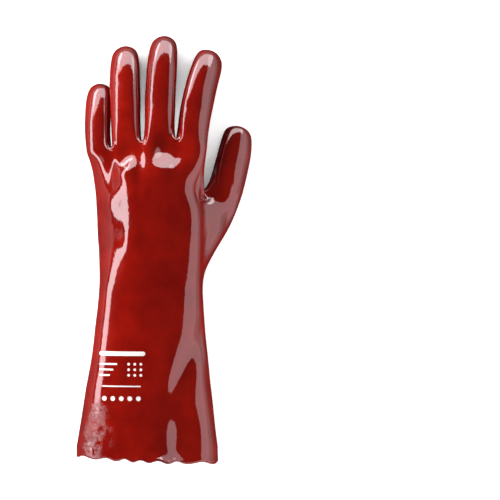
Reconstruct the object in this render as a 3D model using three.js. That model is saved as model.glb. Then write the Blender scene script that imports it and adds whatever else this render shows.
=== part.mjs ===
// A long work glove for the left hand: a knitted liner dipped in glossy red PVC, with an open gauntlet.
// It lies palm down. +X is the thumb side, +Y runs from the mouth to the fingertips and +Z is up,
// out of the back of the hand. The origin is on the surface that it lies on, under the box's centre.
// The skin is a cage of four-sided faces, smoothed once as a subdivision surface. Both walls are
// offsets of that one skin. Sizes are in millimetres and angles in degrees.
import * as THREE from "three";

// Lengths along the glove
const gauntletLength = 132; // mouth to wrist
const handLength = 126; // wrist to the web between the ring and the middle finger
// Section sizes, over the coating
const mouthWidth = 118;
const mouthDepth = 66;
const wristWidth = 86;
const wristDepth = 52;
const palmWidth = 99;
const palmDepth = 37;
// Heights over the surface
const wristHeight = 32; // middle of the wrist
const knuckleRise = 9; // how much higher than the wrist the knuckles stand
const restSink = 3.2; // how much of the gauntlet's round underside is pressed flat
// Walls
const coatingWall = 1;
const liningWall = 1;
const bondGap = 0.3; // between the coating and the lining
// Thumb
const thumbLength = 62;
const thumbWidth = 26;
const thumbDepth = 24;
const fingerCurl = 6; // how late along a finger its bend comes, 1 for an even bend
// Cut edge of the mouth
const scallopCount = 15;
const scallopDepth = 2.2;
const edgeBand = 9; // strip at the mouth in which the scallops are cut
const mouthSlant = 0.045; // how much further the edge reaches on the thumb side, for each mm across

const columns = 20; // cage points round the hand: 9 on the back, 9 on the palm, 1 at each side
const ringPoints = 8; // cage points round a finger
const rimPoints = 3; // points of the cut edge for each side of the mouth
const degree = Math.PI / 180;
// A smoothed ring of 8 points comes out smaller than its cage, by this share.
const ringSwell = 1 / (2 / 3 + Math.cos(45 * degree) / 3);

// narrow: how far the section has gone from the mouth's size (0) to the wrist's (1)
const gauntletRows = [
  { along: 0.0, narrow: 0.0, shift: 0.0 },
  { along: 0.34, narrow: 0.37, shift: 0.012 },
  { along: 0.68, narrow: 0.74, shift: 0.03 },
  { along: 1.0, narrow: 1.0, shift: 0.034 },
];
// width and depth are shares of the palm's, rise of the knuckles', shift of the palm's width.
// crest: where the back is highest, as a share of half the width. far and near: how square the back
// is on the little finger's side and on the thumb's, 2 for an ellipse and 1 for a straight slope.
// swing turns the palm's columns towards the thumb, so that its root has room. droop: how far the
// little finger's side hangs, as a share of the palm's depth.
const handRows = [
  { along: 0.17, width: 0.87, depth: 1.32, rise: 0.2, shift: 0.038,
    crest: -0.1, far: 1.8, near: 2.5, swing: 18, droop: 0.1 },
  { along: 0.42, width: 0.89, depth: 1.2, rise: 0.5, shift: 0.028,
    crest: -0.2, far: 1.3, near: 2.9, swing: 28, droop: 0.32 },
  { along: 0.68, width: 0.91, depth: 1.08, rise: 0.78, shift: 0.022,
    crest: -0.24, far: 1.25, near: 3, swing: 20, droop: 0.4 },
  { along: 0.86, width: 0.95, depth: 0.96, rise: 0.96, shift: 0.004,
    crest: -0.22, far: 1.25, near: 2.8, swing: 4, droop: 0.42 },
];
// The five seams between and beside the fingers. across: share of the palm's width.
// along: share of the hand's length. depth and height: shares of the palm's depth.
const webs = [
  { across: -0.505, along: 0.93, depth: 0.5, height: -0.36 },
  { across: -0.29, along: 0.955, depth: 0.5, height: -0.1 },
  { across: -0.037, along: 0.995, depth: 0.56, height: 0.02 },
  { across: 0.243, along: 1.015, depth: 0.56, height: 0.04 },
  { across: 0.5, along: 0.965, depth: 0.52, height: -0.02 },
];
// lean: towards the thumb, at the root and at the tip. bend: downwards, at the root and at the tip.
// roll turns the section's top towards the thumb. shoulder: how square it is on the thumb's side.
const fingers = [
  { name: "little", length: 63, width: 22.5, depth: 18.5, lean: [-10, 10], bend: [24, 46],
    roll: -22, shoulder: 1.1 },
  { name: "ring", length: 91, width: 25.5, depth: 21, lean: [-5, 1.4], bend: [20, 46],
    roll: -12, shoulder: 1.14 },
  { name: "middle", length: 96, width: 25.6, depth: 22, lean: [-0.6, 5], bend: [20, 46],
    roll: -8, shoulder: 1.14 },
  { name: "index", length: 88, width: 27.5, depth: 20.5, lean: [2, 22], bend: [22, 46],
    roll: 22, shoulder: 1 },
];
// along: share of the finger's length. size: share of its width and depth. roll: share of its roll.
const fingerRings = [
  { along: 0.1, size: 0.93, roll: 0.4 },
  { along: 0.48, size: 1.0, roll: 1 },
  { along: 0.84, size: 0.98, roll: 1 },
  { along: 0.975, size: 0.76, roll: 0.7 },
];
// out, along and drop: shares of the thumb's length, from the middle of its root. size: share of its
// section. flat: how deep that section is for its width, 1 for the thumb's own depth.
const thumbRings = [
  { out: 0.28, along: 0.31, drop: 0.1, lean: 54, bend: 0, roll: 36, size: 1.56, flat: 0.74 },
  { out: 0.42, along: 0.77, drop: 0.115, lean: 21, bend: 9, roll: 30, size: 1.18, flat: 0.8 },
  { out: 0.5, along: 1.17, drop: 0.225, lean: 14, bend: 16, roll: 26, size: 1.1, flat: 0.84 },
  { out: 0.53, along: 1.38, drop: 0.3, lean: 10, bend: 26, roll: 10, size: 0.86, flat: 0.9 },
];
// Pads and dents of the skin. across and along: shares of the palm's width and of the glove's length.
// wide, long and deep: shares of the palm's width. turn: the dent's long way, towards the thumb.
const dents = [
  { name: "thumb pad", side: "palm", across: 0.24, along: 0.51, wide: 0.2, long: 0.36, deep: -0.04, turn: 20 },
  { name: "heel pad", side: "palm", across: -0.27, along: 0.49, wide: 0.16, long: 0.42, deep: -0.03, turn: 0 },
  { name: "palm hollow", side: "palm", across: -0.02, along: 0.6, wide: 0.24, long: 0.36, deep: 0.06, turn: 0 },
  { name: "heel valley", side: "palm", across: 0.0, along: 0.42, wide: 0.09, long: 0.26, deep: 0.02, turn: 0 },
  { name: "gauntlet groove", side: "back", across: 0.289, along: 0.198, wide: 0.07, long: 0.24, deep: 0.028, turn: 24 },
  { name: "outer groove", side: "back", across: 0.461, along: 0.181, wide: 0.08, long: 0.26, deep: 0.018, turn: -10 },
  { name: "cuff groove", side: "back", across: 0.299, along: 0.073, wide: 0.13, long: 0.26, deep: 0.036, turn: 0 },
  { name: "ring root", side: "back", across: -0.166, along: 0.72, wide: 0.13, long: 0.09, deep: 0.044, turn: -4 },
  { name: "middle root", side: "back", across: 0.132, along: 0.722, wide: 0.13, long: 0.095, deep: 0.06, turn: 4 },
  { name: "thumb web", side: "back", across: 0.541, along: 0.63, wide: 0.14, long: 0.11, deep: 0.065, turn: 20 },
];

const vector = (x, y, z) => new THREE.Vector3(x, y, z);

// The cage: points and four-sided faces that look outwards.
const cage = { points: [], quads: [] };

function addPoint(point) {
  cage.points.push(point);
  return cage.points.length - 1;
}

// Faces between two rings of the same number of points, the second one further from the mouth.
function joinRings(lower, upper, skip = () => false) {
  lower.forEach((point, k) => {
    const next = (k + 1) % lower.length;
    if (!skip(k)) cage.quads.push([point, upper[k], upper[next], lower[next]]);
  });
}

// A point of a closed curve that is an ellipse at square 2 and nears a box above it.
function rounded(cosine, sine, square) {
  const power = 2 / square;
  return [Math.sign(cosine) * Math.abs(cosine) ** power, Math.sign(sine) * Math.abs(sine) ** power];
}

function handSection({ x, y, z, width, depth, crest = 0, far = 2, near = 2, swing = 0, droop = 0 }) {
  const turn = 360 / columns;
  return Array.from({ length: columns }, (_, k) => {
    const plain = k * turn;
    const onPalm = plain > 180;
    const angle = (plain - (onPalm ? swing * Math.sin((plain - 180) * degree) : 0)) * degree;
    const onNearSide = Math.cos(angle) > 0;
    const square = onPalm ? 2 : onNearSide ? near : far;
    const peak = onPalm ? 0 : crest;
    const [side, up] = rounded(Math.cos(angle), Math.sin(angle), square);
    const across = peak + (onNearSide ? 1 - peak : 1 + peak) * side;
    const hang = droop * palmDepth * Math.max(0, -across) ** 1.5;
    return vector(x + (width / 2) * across, y, z + (depth / 2) * up - hang);
  });
}

function blend(from, to, share) {
  return from + (to - from) * share;
}

function handSections() {
  const gauntlet = gauntletRows.map(({ along, narrow, shift }) => {
    const depth = blend(mouthDepth, wristDepth, narrow);
    return {
      x: shift * wristWidth,
      y: blend(edgeBand, gauntletLength, along),
      z: blend(mouthDepth / 2 - restSink, wristHeight, narrow),
      width: blend(mouthWidth, wristWidth, narrow),
      depth,
    };
  });
  const hand = handRows.map((row) => ({
    ...row,
    x: row.shift * palmWidth,
    y: gauntletLength + row.along * handLength,
    z: wristHeight + row.rise * knuckleRise,
    width: row.width * palmWidth,
    depth: row.depth * palmDepth,
  }));
  return [...gauntlet, ...hand].map(handSection);
}

// The last ring of the hand: web points between the fingers and the crowns of the finger roots.
function fingerRoots() {
  const place = ({ across, along, height }) =>
    vector(
      across * palmWidth,
      gauntletLength + along * handLength,
      wristHeight + knuckleRise + height * palmDepth,
    );
  const raised = (point, up) => addPoint(point.clone().setZ(point.z + up));
  const seams = webs.map((web) => {
    const half = (web.depth * palmDepth) / 2;
    return { back: raised(place(web), half), middle: raised(place(web), 0), palm: raised(place(web), -half) };
  });
  const roots = fingers.map((finger, i) => {
    const centre = place(webs[i]).lerp(place(webs[i + 1]), 0.5);
    const half = (finger.depth / 2) * ringSwell;
    return { centre, back: raised(centre, half), palm: raised(centre, -half) };
  });
  return { seams, roots };
}

function turnedRing(centre, { lean, bend, roll, shoulder = 1 }, halfWidth, halfDepth) {
  const level = vector(Math.cos(lean * degree), -Math.sin(lean * degree), 0);
  const forward = vector(
    Math.sin(lean * degree) * Math.cos(bend * degree),
    Math.cos(lean * degree) * Math.cos(bend * degree),
    -Math.sin(bend * degree),
  );
  const side = level.applyAxisAngle(forward, roll * degree);
  const up = side.clone().cross(forward);
  return Array.from({ length: ringPoints }, (_, k) => {
    const angle = (k * 2 * Math.PI) / ringPoints;
    const reach = ringSwell * (k === 1 ? shoulder : 1);
    return addPoint(
      centre
        .clone()
        .addScaledVector(side, halfWidth * reach * Math.cos(angle))
        .addScaledVector(up, halfDepth * reach * Math.sin(angle)),
    );
  });
}

function closeTip(ring, tip) {
  const middle = addPoint(tip);
  for (let k = 0; k < ringPoints; k += 2) {
    const before = (k + ringPoints - 1) % ringPoints;
    cage.quads.push([middle, ring[k + 1], ring[k], ring[before]]);
  }
}

function fingerBend(finger, share) {
  return blend(...finger.bend, share ** fingerCurl);
}

// Walks along a finger that leans evenly and bends mostly near its tip.
function alongFinger(finger, root, share) {
  const steps = 24;
  const place = root.clone();
  const step = (finger.length * share) / steps;
  for (let i = 0; i < steps; i += 1) {
    const at = (share * (i + 0.5)) / steps;
    const lean = blend(...finger.lean, at) * degree;
    const bend = fingerBend(finger, at) * degree;
    place.x += step * Math.sin(lean) * Math.cos(bend);
    place.y += step * Math.cos(lean) * Math.cos(bend);
    place.z -= step * Math.sin(bend);
  }
  return { place, lean: blend(...finger.lean, share), bend: fingerBend(finger, share) };
}

function addFinger(finger, rootLoop, root) {
  let ring = rootLoop;
  for (const { along, size, roll } of fingerRings) {
    const { place, lean, bend } = alongFinger(finger, root, along);
    const turned = { lean, bend, roll: finger.roll * roll, shoulder: finger.shoulder };
    const next = turnedRing(place, turned, (finger.width * size) / 2, (finger.depth * size) / 2);
    joinRings(ring, next);
    ring = next;
  }
  closeTip(ring, alongFinger(finger, root, 1.01).place);
}

function addThumb(loop, root) {
  let ring = loop;
  let place = root;
  for (const { out, along, drop, size, flat, ...turned } of thumbRings) {
    const half = (thumbWidth * size) / 2;
    place = root.clone().add(vector(out * thumbLength, along * thumbLength, -drop * thumbLength));
    const next = turnedRing(place, turned, half, (half * flat * thumbDepth) / thumbWidth);
    joinRings(ring, next);
    ring = next;
  }
  const last = thumbRings.at(-1);
  const tip = place.clone();
  tip.x += 0.05 * thumbLength * Math.sin(last.lean * degree);
  tip.y += 0.05 * thumbLength * Math.cos(last.lean * degree);
  closeTip(ring, tip);
}

function buildCage() {
  const rows = handSections().map((section) => section.map(addPoint));
  const { seams, roots } = fingerRoots();
  // Column 0 is the thumb side, then the back from thumb to little finger, the far side and the palm.
  const lastRow = Array(columns);
  lastRow[0] = seams[4].middle;
  lastRow[columns / 2] = seams[0].middle;
  for (let i = 0; i <= 4; i += 1) {
    lastRow[9 - 2 * i] = seams[i].back;
    lastRow[11 + 2 * i] = seams[i].palm;
    if (i < 4) {
      lastRow[8 - 2 * i] = roots[i].back;
      lastRow[12 + 2 * i] = roots[i].palm;
    }
  }
  // The thumb grows from a patch of two rows by two columns on the palm's thumb side.
  const firstThumbRow = gauntletRows.length;
  const inThumb = (row, k) =>
    (row === firstThumbRow || row === firstThumbRow + 1) && (k === columns - 1 || k === columns - 2);
  [...rows, lastRow].forEach((ring, row, all) => {
    if (row) joinRings(all[row - 1], ring, (k) => inThumb(row - 1, k));
  });
  const [low, middle, high] = rows.slice(firstThumbRow, firstThumbRow + 3);
  const side = 0;
  const inner = columns - 1;
  const deep = columns - 2;
  const loop = [
    low[inner],
    low[side],
    middle[side],
    high[side],
    high[inner],
    high[deep],
    middle[deep],
    low[deep],
  ];
  addThumb(loop, cage.points[middle[inner]].clone());
  fingers.forEach((finger, i) => {
    const [left, right] = [seams[i], seams[i + 1]];
    const { back, palm, centre } = roots[i];
    const rootLoop = [right.middle, right.back, back, left.back, left.middle, left.palm, palm, right.palm];
    addFinger(finger, rootLoop, centre);
  });
  dropLoosePoint(middle[inner]);
}

// The point in the middle of the thumb's patch has no face left.
function dropLoosePoint(loose) {
  cage.points.splice(loose, 1);
  cage.quads = cage.quads.map((quad) => quad.map((i) => (i > loose ? i - 1 : i)));
}

// One Catmull-Clark step. It also moves each old point to where endless steps would take it.
function edgeKey(a, b) {
  return a < b ? `${a} ${b}` : `${b} ${a}`;
}

function average(points) {
  return points.reduce((sum, point) => sum.add(point), vector(0, 0, 0)).divideScalar(points.length);
}

function surroundings({ points, quads }) {
  const edges = new Map();
  const around = points.map(() => ({ ends: new Set(), faces: [], corners: [], rim: [] }));
  quads.forEach((quad, face) => {
    quad.forEach((a, i) => {
      const b = quad[(i + 1) % 4];
      const key = edgeKey(a, b);
      if (!edges.has(key)) edges.set(key, { a, b, faces: [] });
      edges.get(key).faces.push(face);
      around[a].ends.add(b);
      around[b].ends.add(a);
      around[a].faces.push(face);
      around[a].corners.push(quad[(i + 2) % 4]);
    });
  });
  for (const { a, b, faces } of edges.values()) {
    if (faces.length === 1) {
      around[a].rim.push(b);
      around[b].rim.push(a);
    }
  }
  return { edges, around };
}

function smoothOnce(mesh) {
  const { points, quads } = mesh;
  const { edges, around } = surroundings(mesh);
  const centres = quads.map((quad) => average(quad.map((i) => points[i])));
  const moved = points.map((point, i) => {
    const { ends, faces, rim } = around[i];
    if (rim.length) {
      const sides = points[rim[0]].clone().add(points[rim[1]]);
      return point.clone().multiplyScalar(6).add(sides).divideScalar(8);
    }
    const n = faces.length;
    const face = average(faces.map((f) => centres[f]));
    const edge = average([...ends].map((e) => point.clone().add(points[e]).divideScalar(2)));
    return face.addScaledVector(edge, 2).addScaledVector(point, n - 3).divideScalar(n);
  });
  const made = { points: [...moved, ...centres], quads: [] };
  const middleOf = new Map();
  for (const [key, { a, b, faces }] of edges) {
    const rim = faces.length === 1;
    const used = rim ? [points[a], points[b]] : [points[a], points[b], ...faces.map((f) => centres[f])];
    middleOf.set(key, made.points.push(average(used)) - 1);
  }
  quads.forEach((quad, face) => {
    quad.forEach((a, i) => {
      const after = middleOf.get(edgeKey(a, quad[(i + 1) % 4]));
      const before = middleOf.get(edgeKey(a, quad[(i + 3) % 4]));
      made.quads.push([a, after, points.length + face, before]);
    });
  });
  return made;
}

function toLimit(mesh) {
  const { points, quads } = mesh;
  const { around } = surroundings(mesh);
  const limit = points.map((point, i) => {
    const { ends, faces, corners, rim } = around[i];
    if (rim.length) {
      const sides = points[rim[0]].clone().add(points[rim[1]]);
      return point.clone().multiplyScalar(4).add(sides).divideScalar(6);
    }
    const n = faces.length;
    const sum = point.clone().multiplyScalar(n * n);
    ends.forEach((e) => sum.addScaledVector(points[e], 4));
    corners.forEach((c) => sum.add(points[c]));
    return sum.divideScalar(n * (n + 5));
  });
  return { points: limit, quads };
}

// Pushes the skin in at each dent and out at each pad, in a bell shape.
function pressDents(skin) {
  const gloveLength = gauntletLength + handLength + fingers[2].length;
  const normals = outwardNormals(skin);
  const pressed = skin.points.map((point, i) => {
    const normal = normals[i];
    const depth = dents.reduce((sum, { side, across, along, wide, long, deep, turn }) => {
      const facing = side === "palm" ? -normal.z : normal.z;
      if (facing <= 0) return sum;
      const x = point.x - across * palmWidth;
      const y = point.y - along * gloveLength;
      const u = (x * Math.cos(turn * degree) - y * Math.sin(turn * degree)) / (wide * palmWidth);
      const v = (x * Math.sin(turn * degree) + y * Math.cos(turn * degree)) / (long * palmWidth);
      return sum + deep * palmWidth * Math.exp(-u * u - v * v) * Math.min(1, 2 * facing);
    }, 0);
    return point.clone().addScaledVector(normal, -depth);
  });
  return { points: pressed, quads: skin.quads };
}

function restOnFloor(points) {
  points.forEach((point) => {
    point.z = Math.max(point.z, 0);
  });
}

function outwardNormals({ points, quads }) {
  const normals = points.map(() => vector(0, 0, 0));
  quads.forEach(([a, b, c, d]) => {
    const across = points[c].clone().sub(points[a]);
    const other = points[d].clone().sub(points[b]);
    const face = across.cross(other);
    [a, b, c, d].forEach((i) => normals[i].add(face));
  });
  normals.forEach((normal) => normal.normalize());
  return normals;
}

function offsetSkin(skin, normals, depth) {
  return skin.points.map((point, i) => point.clone().addScaledVector(normals[i], -depth));
}

// The rim of the mouth in order, as indices of the skin's points.
function rimOf(mesh) {
  const { around } = surroundings(mesh);
  const start = around.findIndex(({ rim }) => rim.length);
  const loop = [start];
  let at = around[start].rim[0];
  let from = start;
  while (at !== start) {
    loop.push(at);
    const next = around[at].rim.find((i) => i !== from);
    from = at;
    at = next;
  }
  return loop;
}

// A closed wall between two offsets of the skin, with the scalloped edge band at the mouth.
function wall(skin, rim, outer, inner) {
  const vertices = [];
  const triangles = [];
  const put = (point) => vertices.push(point) - 1;
  const addFace = (a, b, c, flip) => triangles.push(flip ? [a, c, b] : [a, b, c]);
  const rims = [outer, inner].map((points, side) => {
    const first = vertices.length;
    points.forEach(put);
    skin.quads.forEach(([a, b, c, d]) => {
      addFace(first + a, first + b, first + c, side);
      addFace(first + a, first + c, first + d, side);
    });
    return rim.map((i) => first + i);
  });
  const total = rim.length * rimPoints;
  const edges = rims.map((loop, side) => {
    const edge = loop.flatMap((index, i) => {
      const [a, b] = [vertices[index], vertices[loop[(i + 1) % loop.length]]];
      return Array.from({ length: rimPoints }, (_, j) => {
        const point = a.clone().lerp(b, j / rimPoints);
        const turn = (2 * Math.PI * (i * rimPoints + j)) / total;
        const scallop = (scallopDepth / 2) * (1 - Math.cos(turn * scallopCount));
        point.y -= edgeBand + mouthSlant * point.x + scallop;
        return put(point);
      });
    });
    loop.forEach((index, i) => {
      const next = loop[(i + 1) % loop.length];
      for (let j = 0; j < rimPoints; j += 1) {
        const e = edge[i * rimPoints + j];
        const f = edge[(i * rimPoints + j + 1) % total];
        addFace(index, f, e, side);
      }
      addFace(index, next, edge[((i + 1) * rimPoints) % total], side);
    });
    return edge;
  });
  edges[0].forEach((e, i) => {
    const next = (i + 1) % total;
    addFace(e, edges[0][next], edges[1][next], false);
    addFace(e, edges[1][next], edges[1][i], false);
  });
  return solidGeometry(vertices, triangles);
}

function solidGeometry(vertices, triangles) {
  const geometry = new THREE.BufferGeometry();
  geometry.setAttribute("position", new THREE.Float32BufferAttribute(vertices.flatMap((v) => v.toArray()), 3));
  geometry.setIndex(triangles.flat());
  geometry.computeVertexNormals();
  return geometry;
}

const redCoating = new THREE.MeshStandardMaterial({ color: 0x9c150d, roughness: 0.12, metalness: 0 });
const rawKnit = new THREE.MeshStandardMaterial({ color: 0xe6dfd0, roughness: 0.95, metalness: 0 });

buildCage();
const skin = pressDents(toLimit(smoothOnce(cage)));
restOnFloor(skin.points);
const normals = outwardNormals(skin);
const rim = rimOf(skin);

function layer(name, material, depth, thickness) {
  const outer = offsetSkin(skin, normals, depth);
  const inner = offsetSkin(skin, normals, depth + thickness);
  const mesh = new THREE.Mesh(wall(skin, rim, outer, inner), material);
  mesh.name = name;
  return mesh;
}

const glove = new THREE.Group();
glove.add(layer("pvc_coating", redCoating, 0, coatingWall));
glove.add(layer("knit_lining", rawKnit, coatingWall + bondGap, liningWall));

const box = new THREE.Box3().setFromObject(glove);
const middle = box.getCenter(vector(0, 0, 0));
glove.position.set(-middle.x, -middle.y, -box.min.z);

export default glove;
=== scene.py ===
# A long PVC coated work glove for the left hand, palm down on a pale table, seen from straight above.
# Tables are in millimetres and degrees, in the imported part's frame: +X to the thumb, +Y to the fingertips.
import math

import bmesh
import bpy
import numpy as np
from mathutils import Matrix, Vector, noise


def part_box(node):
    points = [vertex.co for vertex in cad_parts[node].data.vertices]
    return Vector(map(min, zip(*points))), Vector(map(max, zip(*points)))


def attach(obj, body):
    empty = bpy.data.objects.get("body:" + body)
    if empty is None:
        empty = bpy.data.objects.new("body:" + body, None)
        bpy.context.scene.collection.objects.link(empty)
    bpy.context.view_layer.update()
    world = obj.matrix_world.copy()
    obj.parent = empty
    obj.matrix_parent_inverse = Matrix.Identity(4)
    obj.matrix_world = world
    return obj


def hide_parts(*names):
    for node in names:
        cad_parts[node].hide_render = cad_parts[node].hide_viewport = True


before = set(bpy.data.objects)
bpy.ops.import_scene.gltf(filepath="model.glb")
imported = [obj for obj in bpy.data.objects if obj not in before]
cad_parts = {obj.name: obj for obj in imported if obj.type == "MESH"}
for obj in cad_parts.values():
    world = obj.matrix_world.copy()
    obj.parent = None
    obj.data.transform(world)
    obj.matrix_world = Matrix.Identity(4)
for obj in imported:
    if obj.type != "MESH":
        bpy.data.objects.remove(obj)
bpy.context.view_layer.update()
mm = 0.001
degree = math.pi / 180
print("frame loaded")

# The bare skin: the same cage of four-sided faces as the part's solids
skin = {
    "gauntletLength": 132,
    "handLength": 126,
    "mouthWidth": 118,
    "mouthDepth": 66,
    "wristWidth": 86,
    "wristDepth": 52,
    "palmWidth": 99,
    "palmDepth": 37,
    "wristHeight": 32,
    "knuckleRise": 9,
    "restSink": 3.2,
    "thumbLength": 62,
    "thumbWidth": 26,
    "thumbDepth": 24,
    "edgeBand": 9,
    "curl": 6,
    "hangPower": 1.5,
    "bendSteps": 24,
    "fingertip": 1.01,
    "thumbtip": 0.05,
    "columns": 20,
    "ringPoints": 8,
    "smoothLevels": 3,
}
# narrow goes from the mouth's size (0) to the wrist's (1)
gauntletRows = [
    {"along": 0.0, "narrow": 0.0, "shift": 0.0},
    {"along": 0.34, "narrow": 0.37, "shift": 0.012},
    {"along": 0.68, "narrow": 0.74, "shift": 0.03},
    {"along": 1.0, "narrow": 1.0, "shift": 0.034},
]
# shares of the palm's sizes; crest is where the back is highest, and far (the little finger's side) and near
# say how square its sides are. swing turns the palm side's points, and droop lowers the far side.
handRows = [
    {"along": 0.17, "width": 0.87, "depth": 1.32, "rise": 0.2, "shift": 0.038,
     "crest": -0.1, "far": 1.8, "near": 2.5, "swing": 18, "droop": 0.1},
    {"along": 0.42, "width": 0.89, "depth": 1.2, "rise": 0.5, "shift": 0.028,
     "crest": -0.2, "far": 1.3, "near": 2.9, "swing": 28, "droop": 0.32},
    {"along": 0.68, "width": 0.91, "depth": 1.08, "rise": 0.78, "shift": 0.022,
     "crest": -0.24, "far": 1.25, "near": 3.0, "swing": 20, "droop": 0.4},
    {"along": 0.86, "width": 0.95, "depth": 0.96, "rise": 0.96, "shift": 0.004,
     "crest": -0.22, "far": 1.25, "near": 2.8, "swing": 4, "droop": 0.42},
]
webs = [
    {"across": -0.505, "along": 0.93, "depth": 0.5, "height": -0.36},
    {"across": -0.29, "along": 0.955, "depth": 0.5, "height": -0.1},
    {"across": -0.037, "along": 0.995, "depth": 0.56, "height": 0.02},
    {"across": 0.243, "along": 1.015, "depth": 0.56, "height": 0.04},
    {"across": 0.5, "along": 0.965, "depth": 0.52, "height": -0.02},
]
# lean is towards the thumb and bend downwards, at the root and at the tip
fingers = [
    {"name": "little", "length": 63, "width": 22.5, "depth": 18.5, "lean": (-10, 10), "bend": (24, 46),
     "roll": -22, "shoulder": 1.1},
    {"name": "ring", "length": 91, "width": 25.5, "depth": 21, "lean": (-5, 1.4), "bend": (20, 46),
     "roll": -12, "shoulder": 1.14},
    {"name": "middle", "length": 96, "width": 25.6, "depth": 22, "lean": (-0.6, 5), "bend": (20, 46),
     "roll": -8, "shoulder": 1.14},
    {"name": "index", "length": 88, "width": 27.5, "depth": 20.5, "lean": (2, 22), "bend": (22, 46),
     "roll": 22, "shoulder": 1},
]
fingerRings = [
    {"along": 0.1, "size": 0.93, "roll": 0.4},
    {"along": 0.48, "size": 1.0, "roll": 1},
    {"along": 0.84, "size": 0.98, "roll": 1},
    {"along": 0.975, "size": 0.76, "roll": 0.7},
]
thumbRings = [
    {"out": 0.28, "along": 0.31, "drop": 0.1, "lean": 54, "bend": 0, "roll": 36, "size": 1.56, "flat": 0.74},
    {"out": 0.42, "along": 0.77, "drop": 0.115, "lean": 21, "bend": 9, "roll": 30, "size": 1.18, "flat": 0.8},
    {"out": 0.5, "along": 1.17, "drop": 0.225, "lean": 14, "bend": 16, "roll": 26, "size": 1.1, "flat": 0.84},
    {"out": 0.53, "along": 1.38, "drop": 0.3, "lean": 10, "bend": 26, "roll": 10, "size": 0.86, "flat": 0.9},
]
ringSwell = 1 / (2 / 3 + math.cos(45 * degree) / 3)  # a smoothed ring of 8 comes out smaller than its cage
cagePoints = []
cageFaces = []


def blend(start, end, share):
    return start + (end - start) * share


def addPoint(point):
    cagePoints.append(Vector(point))
    return len(cagePoints) - 1


def joinRings(lower, upper, leftOut=()):
    for k in range(len(lower)):
        following = (k + 1) % len(lower)
        if k not in leftOut:
            cageFaces.append((lower[k], upper[k], upper[following], lower[following]))


def handSection(x, y, z, width, depth, crest=0.0, far=2.0, near=2.0, swing=0.0, droop=0.0):
    ring = []
    for k in range(skin["columns"]):
        plain = k * 360 / skin["columns"]
        onPalm = plain > 180
        angle = plain
        if onPalm:
            angle -= swing * math.sin((plain - 180) * degree)
        cosine = math.cos(angle * degree)
        sine = math.sin(angle * degree)
        square = 2 if onPalm else near if cosine > 0 else far
        peak = 0 if onPalm else crest
        across = math.copysign(abs(cosine) ** (2 / square), cosine)
        up = math.copysign(abs(sine) ** (2 / square), sine)
        reach = 1 - peak if cosine > 0 else 1 + peak
        across = peak + reach * across
        hang = droop * skin["palmDepth"] * max(0, -across) ** skin["hangPower"]
        ring.append(addPoint((x + width / 2 * across, y, z + depth / 2 * up - hang)))
    return ring


def handSections():
    rows = []
    for row in gauntletRows:
        rows.append(handSection(
            x=row["shift"] * skin["wristWidth"],
            y=blend(skin["edgeBand"], skin["gauntletLength"], row["along"]),
            z=blend(skin["mouthDepth"] / 2 - skin["restSink"], skin["wristHeight"], row["narrow"]),
            width=blend(skin["mouthWidth"], skin["wristWidth"], row["narrow"]),
            depth=blend(skin["mouthDepth"], skin["wristDepth"], row["narrow"]),
        ))
    for row in handRows:
        rows.append(handSection(
            x=row["shift"] * skin["palmWidth"],
            y=skin["gauntletLength"] + row["along"] * skin["handLength"],
            z=skin["wristHeight"] + row["rise"] * skin["knuckleRise"],
            width=row["width"] * skin["palmWidth"],
            depth=row["depth"] * skin["palmDepth"],
            **{name: row[name] for name in ("crest", "far", "near", "swing", "droop")},
        ))
    return rows


def webPlace(web):
    return Vector((
        web["across"] * skin["palmWidth"],
        skin["gauntletLength"] + web["along"] * skin["handLength"],
        skin["wristHeight"] + skin["knuckleRise"] + web["height"] * skin["palmDepth"],
    ))


def fingerRoots():
    seams = []
    for web in webs:
        half = Vector((0, 0, web["depth"] * skin["palmDepth"] / 2))
        place = webPlace(web)
        back, middle, palm = (addPoint(place + half * side) for side in (1, 0, -1))
        seams.append({"back": back, "middle": middle, "palm": palm})
    roots = []
    for i, finger in enumerate(fingers):
        centre = webPlace(webs[i]).lerp(webPlace(webs[i + 1]), 0.5)
        half = Vector((0, 0, finger["depth"] / 2 * ringSwell))
        roots.append({"centre": centre, "back": addPoint(centre + half), "palm": addPoint(centre - half)})
    return seams, roots


def turnedRing(centre, lean, bend, roll, halfWidth, halfDepth, shoulder=1.0):
    level = Vector((math.cos(lean * degree), -math.sin(lean * degree), 0))
    forward = Vector((
        math.sin(lean * degree) * math.cos(bend * degree),
        math.cos(lean * degree) * math.cos(bend * degree),
        -math.sin(bend * degree),
    ))
    upright = level.cross(forward)
    side = level * math.cos(roll * degree) - upright * math.sin(roll * degree)
    up = level * math.sin(roll * degree) + upright * math.cos(roll * degree)
    ring = []
    for k in range(skin["ringPoints"]):
        angle = k * 2 * math.pi / skin["ringPoints"]
        reach = ringSwell * (shoulder if k == 1 else 1)
        ring.append(addPoint(
            centre
            + side * halfWidth * reach * math.cos(angle)
            + up * halfDepth * reach * math.sin(angle)
        ))
    return ring


def closeTip(ring, tip):
    middle = addPoint(tip)
    for k in range(0, len(ring), 2):
        cageFaces.append((middle, ring[k + 1], ring[k], ring[k - 1]))


def fingerBend(finger, share):
    return blend(*finger["bend"], share ** skin["curl"])


# The place on a finger's bent middle line, with its lean and bend there
def alongFinger(finger, root, share):
    steps = skin["bendSteps"]
    place = root.copy()
    step = finger["length"] * share / steps
    for i in range(steps):
        at = share * (i + 0.5) / steps
        lean = blend(*finger["lean"], at) * degree
        bend = fingerBend(finger, at) * degree
        level = math.cos(bend)
        place += step * Vector((math.sin(lean) * level, math.cos(lean) * level, -math.sin(bend)))
    return place, blend(*finger["lean"], share), fingerBend(finger, share)


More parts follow.
